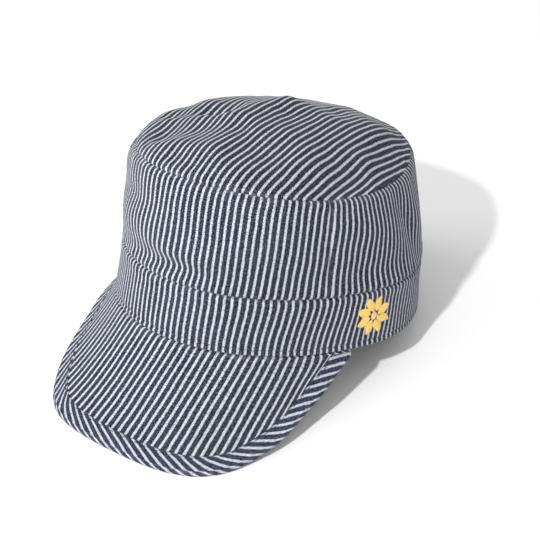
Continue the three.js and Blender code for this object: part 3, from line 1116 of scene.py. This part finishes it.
def new_group(name, inputs, outputs):
    """An empty shader node group with named sockets, and its input and output nodes."""
    group = bpy.data.node_groups.new(name, "ShaderNodeTree")
    for label, kind, value in inputs:
        socket = group.interface.new_socket(label, in_out="INPUT", socket_type=kind)
        if value is not None:
            socket.default_value = value
    for label, kind in outputs:
        group.interface.new_socket(label, in_out="OUTPUT", socket_type=kind)
    return group, group.nodes.new("NodeGroupInput"), group.nodes.new("NodeGroupOutput")


FLOAT = "NodeSocketFloat"
VECTOR = "NodeSocketVector"


def stripes_group():
    """Narrow woven stripes along one way of the cloth, with slightly ragged edges."""
    group, given, result = new_group(
        "woven_stripes",
        [("Cloth", VECTOR, None), ("Pitch", FLOAT, STRIPE_PITCH), ("Width", FLOAT, STRIPE_WIDTH),
         ("Shift", FLOAT, 0.0), ("Raggedness", FLOAT, 1.1)],
        [("Stripe", FLOAT)],
    )
    maths = partial(math_node, group)
    cloth = given.outputs["Cloth"]
    split = group.nodes.new("ShaderNodeSeparateXYZ")
    group.links.new(cloth, split.inputs[0])
    ragged = noise_node(group, cloth, 1.4, 1.0, 0.6)
    ragged = maths("SUBTRACT", ragged, 0.5)
    ragged = maths("MULTIPLY", ragged, given.outputs["Raggedness"])
    wander = noise_node(group, cloth, 0.06, 2.0, 0.5)
    wander = maths("MULTIPLY_ADD", wander, 0.9, -0.45)
    place = maths("ADD", split.outputs["X"], given.outputs["Shift"])
    place = maths("ADD", place, wander)
    turn = maths("DIVIDE", place, given.outputs["Pitch"])
    turn = maths("SUBTRACT", turn, maths("FLOOR", turn))
    off = maths("ABSOLUTE", maths("SUBTRACT", turn, 0.5))
    off = maths("MULTIPLY", off, given.outputs["Pitch"])
    off = maths("ADD", off, ragged)
    half = maths("MULTIPLY", given.outputs["Width"], 0.5)
    near = maths("SUBTRACT", half, 0.17)
    far = maths("ADD", half, 0.17)
    group.links.new(ramp_node(group, off, near, far, 1.0, 0.0), result.inputs["Stripe"])
    return group


def twill_group():
    """Diagonal ribs of a twill weave, pale flecks of the crossing threads, and uneven warp threads."""
    group, given, result = new_group(
        "twill_weave",
        [("Cloth", VECTOR, None), ("Rib", FLOAT, 0.55)],
        [("Height", FLOAT), ("Fleck", FLOAT), ("Warp", FLOAT)],
    )
    maths = partial(math_node, group)
    cloth = given.outputs["Cloth"]
    split = group.nodes.new("ShaderNodeSeparateXYZ")
    group.links.new(cloth, split.inputs[0])
    lean = maths("MULTIPLY", split.outputs["X"], 0.85)
    slant = maths("MULTIPLY_ADD", split.outputs["Y"], 0.53, lean)
    turn = maths("DIVIDE", slant, given.outputs["Rib"])
    rib = maths("SINE", maths("MULTIPLY", turn, math.tau))
    slub = noise_node(group, cloth, 1.0, 2.0, 0.6, (1.6, 0.7, 1.0))
    height = maths("MULTIPLY_ADD", rib, 0.35, slub)
    group.links.new(height, result.inputs["Height"])
    grain = noise_node(group, cloth, 1.0, 1.0, 0.5, (1.1, 1.35, 1.0))
    grain = maths("MULTIPLY_ADD", rib, 0.04, grain)
    group.links.new(ramp_node(group, grain, 0.48, 0.62), result.inputs["Fleck"])
    warp = noise_node(group, cloth, 1.0, 2.0, 0.55, (1.9, 0.16, 1.0))
    group.links.new(ramp_node(group, warp, 0.36, 0.64), result.inputs["Warp"])
    return group


def handling_group():
    """Uneven fading over the cloth, and paler rubbed cloth where the wear attribute is high."""
    group, given, result = new_group(
        "handling",
        [("Place", VECTOR, None), ("Wear", FLOAT, 0.0)],
        [("Fade", FLOAT), ("Rubbed", FLOAT)],
    )
    maths = partial(math_node, group)
    place = given.outputs["Place"]
    broad = noise_node(group, place, 22.0, 3.0, 0.55)
    group.links.new(ramp_node(group, broad, 0.3, 0.7), result.inputs["Fade"])
    rub = noise_node(group, place, 260.0, 2.0, 0.6)
    rub = maths("MULTIPLY", ramp_node(group, rub, 0.4, 0.75), given.outputs["Wear"])
    group.links.new(rub, result.inputs["Rubbed"])
    return group


STRIPES = stripes_group()
TWILL = twill_group()
HANDLING = handling_group()


def colour(red, green, blue):
    return (red, green, blue, 1.0)


def use_group(tree, group, **links):
    node = add_node(tree, "ShaderNodeGroup", node_tree=group)
    for key, value in links.items():
        feed(tree, node.inputs[key], value)
    return node


def new_material(name):
    material = bpy.data.materials.new(name)
    material.use_nodes = True
    tree = material.node_tree
    shader = tree.nodes["Principled BSDF"]
    return material, tree, shader


def add_bump(tree, shader, height, strength, distance):
    """Relief of a finish, from a height, on its shader's normal."""
    bump = add_node(tree, "ShaderNodeBump", Strength=strength, Distance=distance)
    tree.links.new(height, bump.inputs["Height"])
    tree.links.new(bump.outputs["Normal"], shader.inputs["Normal"])


def striped_twill(name, dark, fleck, pale, shift=0.0, pitch=STRIPE_PITCH, width=STRIPE_WIDTH):
    """Dark twill with narrow pale stripes."""
    material, tree, shader = new_material(name)
    cloth = add_node(tree, "ShaderNodeUVMap", uv_map="cloth").outputs["UV"]
    place = tree.nodes.new("ShaderNodeTexCoord").outputs["Object"]
    wear = add_node(tree, "ShaderNodeAttribute", attribute_name="wear").outputs["Fac"]
    stripes = use_group(tree, STRIPES, Cloth=cloth, Shift=shift, Pitch=pitch, Width=width)
    twill = use_group(tree, TWILL, Cloth=cloth)
    handling = use_group(tree, HANDLING, Place=place, Wear=wear)
    ground = mix_colours(tree, twill.outputs["Fleck"], dark, fleck)
    worn_warp = math_node(tree, "MULTIPLY", twill.outputs["Warp"], 0.14)
    ground = mix_colours(tree, worn_warp, ground, fleck)
    shade = tuple(0.52 * part for part in pale[:3]) + (1.0,)
    line = mix_colours(tree, twill.outputs["Fleck"], pale, shade)
    woven = mix_colours(tree, stripes.outputs["Stripe"], ground, line)
    faded = math_node(tree, "MULTIPLY", handling.outputs["Fade"], 0.03)
    woven = mix_colours(tree, faded, woven, colour(0.3, 0.32, 0.38))
    rubbed = math_node(tree, "MULTIPLY", handling.outputs["Rubbed"], 0.22)
    woven = mix_colours(tree, rubbed, woven, colour(0.36, 0.38, 0.46))
    tree.links.new(woven, shader.inputs["Base Color"])
    rough = ramp_node(tree, twill.outputs["Fleck"], 0.0, 1.0, 0.84, 0.95)
    tree.links.new(rough, shader.inputs["Roughness"])
    shader.inputs["Specular IOR Level"].default_value = 0.08
    shader.inputs["Sheen Weight"].default_value = 0.16
    shader.inputs["Sheen Roughness"].default_value = 0.3
    stripe = stripes.outputs["Stripe"]
    relief = math_node(tree, "MULTIPLY_ADD", stripe, 0.5, twill.outputs["Height"])
    add_bump(tree, shader, relief, 0.5, 0.00025)
    return material


def thread(name, tint, pale):
    """Sewing thread, a little glossy and uneven along its length."""
    material, tree, shader = new_material(name)
    place = tree.nodes.new("ShaderNodeTexCoord").outputs["Object"]
    strand = noise_node(tree, place, 1500.0, 2.0, 0.6)
    share = ramp_node(tree, strand, 0.35, 0.7)
    tree.links.new(mix_colours(tree, share, tint, pale), shader.inputs["Base Color"])
    tree.links.new(ramp_node(tree, strand, 0.3, 0.7, 0.42, 0.6), shader.inputs["Roughness"])
    shader.inputs["Specular IOR Level"].default_value = 0.3
    add_bump(tree, shader, strand, 0.4, 0.00006)
    return material


def finish_piece(piece, material, slot, *nodes):
    """Gives a piece its cloth and ties it to the cap."""
    piece.data.materials.clear()
    piece.data.materials.append(material)
    if nodes:
        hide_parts(*nodes)
    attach(piece, "root")


DARK = colour(0.004, 0.005, 0.01)
FLECK = colour(0.07, 0.074, 0.11)
PALE = colour(0.51, 0.53, 0.585)
# Darks of the bias strip: the same cloth as the cap's, made bluer and a little lighter as painted
# light from the front
FRONT_LIT_DARK = colour(0.005, 0.006, 0.017)
FRONT_LIT_FLECK = colour(0.08, 0.085, 0.14)

crown_twill = striped_twill("crown_twill", DARK, FLECK, PALE, 0.4)
band_twill = striped_twill("band_twill", DARK, FLECK, PALE, 1.4)
peak_twill = striped_twill("peak_twill", DARK, FLECK, PALE, 0.9)
# Twill of the bias strip, with painted front light in its darks and flecks
binding_twill_front_lit = striped_twill(
    "binding_twill_front_lit", FRONT_LIT_DARK, FRONT_LIT_FLECK, PALE, pitch=BIAS_PITCH, width=BIAS_WIDTH
)

finish_piece(make_wall("front_cloth", -SIDE_SEAM_ANGLE, SIDE_SEAM_ANGLE, 190, 0.65), crown_twill,
             "crown_cloth", "crown_front")
finish_piece(make_wall("back_cloth", SIDE_SEAM_ANGLE, 360 - SIDE_SEAM_ANGLE, 380, -0.15), crown_twill,
             "crown_cloth", "crown_back")
finish_piece(make_top(), crown_twill, "crown_cloth", "crown_top")
finish_piece(make_band(), band_twill, "band_cloth", "band")
finish_piece(make_peak(), peak_twill, "peak_cloth", "peak")
finish_piece(make_binding(), binding_twill_front_lit, "binding_cloth", "peak_binding")

navy_thread = thread("navy_thread", colour(0.012, 0.014, 0.03), colour(0.05, 0.056, 0.09))
yellow_thread = thread("yellow_thread", colour(0.76, 0.48, 0.11), colour(0.92, 0.66, 0.24))
finish_piece(make_hem_stitches(), navy_thread, None)
finish_piece(make_strip_stitches(), navy_thread, None)
finish_piece(make_rosette(), yellow_thread, None)


# Floor, light and camera


def make_floor():
    """Plain pale floor, wide enough to fill the picture."""
    deselect_all()
    bpy.ops.mesh.primitive_plane_add(size=6.0, location=(0, 0, 0))
    floor = bpy.context.active_object
    floor.name = "floor"
    material, tree, shader = new_material("pale_floor")
    shader.inputs["Base Color"].default_value = colour(0.93, 0.93, 0.93)
    shader.inputs["Roughness"].default_value = 0.9
    shader.inputs["Specular IOR Level"].default_value = 0.1
    floor.data.materials.append(material)


def add_softbox(name, place, size, power):
    """A square light aimed at the middle of the cap."""
    light = bpy.data.lights.new(name, "AREA")
    light.shape = "SQUARE"
    light.size = size
    light.energy = power
    box = bpy.data.objects.new(name, light)
    box.location = place
    aim = Vector((0, 0, 0.05)) - Vector(place)
    box.rotation_euler = aim.to_track_quat("-Z", "Y").to_euler()
    bpy.context.scene.collection.objects.link(box)


def add_camera():
    """The camera, in the cap's own frame, so that the cap fills a square image of 540 by 540 pixels.

    The middle of the crown, 50 mm over the rim, falls on the pixel (middle_x, middle_y) of the image.
    """
    frame_size = 540
    middle_x = 280.86
    middle_y = 206.86
    sensor = 36
    azimuth = math.radians(30.10)
    elevation = math.radians(22.30)
    roll_angle = math.radians(6.71)
    distance = 755.11
    focal = 1300.0
    right = Vector((math.cos(azimuth), math.sin(azimuth), 0))
    level = Vector((math.sin(azimuth), -math.cos(azimuth), 0))
    back = level * math.cos(elevation) + Vector((0, 0, math.sin(elevation)))
    up = back.cross(right)
    side = right * math.cos(roll_angle) + up * math.sin(roll_angle)
    rise = up * math.cos(roll_angle) - right * math.sin(roll_angle)
    shift_x = (middle_x - frame_size / 2) * distance / focal
    shift_y = -(middle_y - frame_size / 2) * distance / focal
    place = Vector((0, 0, 50)) - side * shift_x - rise * shift_y + back * distance
    camera_data = bpy.data.cameras.new("camera")
    camera_data.sensor_width = sensor
    camera_data.lens = focal / frame_size * sensor
    camera = bpy.data.objects.new("camera", camera_data)
    axes = Matrix((side, rise, back)).transposed().to_4x4()
    turned = Matrix.Rotation(math.radians(-REST_TILT), 4, "X")
    camera.matrix_world = Matrix.Translation(CAP_TO_WORLD @ place) @ turned @ axes
    bpy.context.scene.collection.objects.link(camera)
    bpy.context.scene.camera = camera


make_floor()
add_softbox("key_light", (0.094, -1.199, 1.055), 0.07, 20.5)
add_softbox("left_light", (-1.5, -0.6, 0.8), 1.2, 17)
add_softbox("right_light", (1.3, -0.9, 1.2), 1.4, 2.5)

world = bpy.data.worlds.new("studio")
world.use_nodes = True
sky = world.node_tree.nodes["Background"]
sky.inputs["Color"].default_value = colour(1.0, 1.0, 1.0)
sky.inputs["Strength"].default_value = 0.66
bpy.context.scene.world = world
bpy.context.scene.view_settings.view_transform = "Standard"

add_camera()
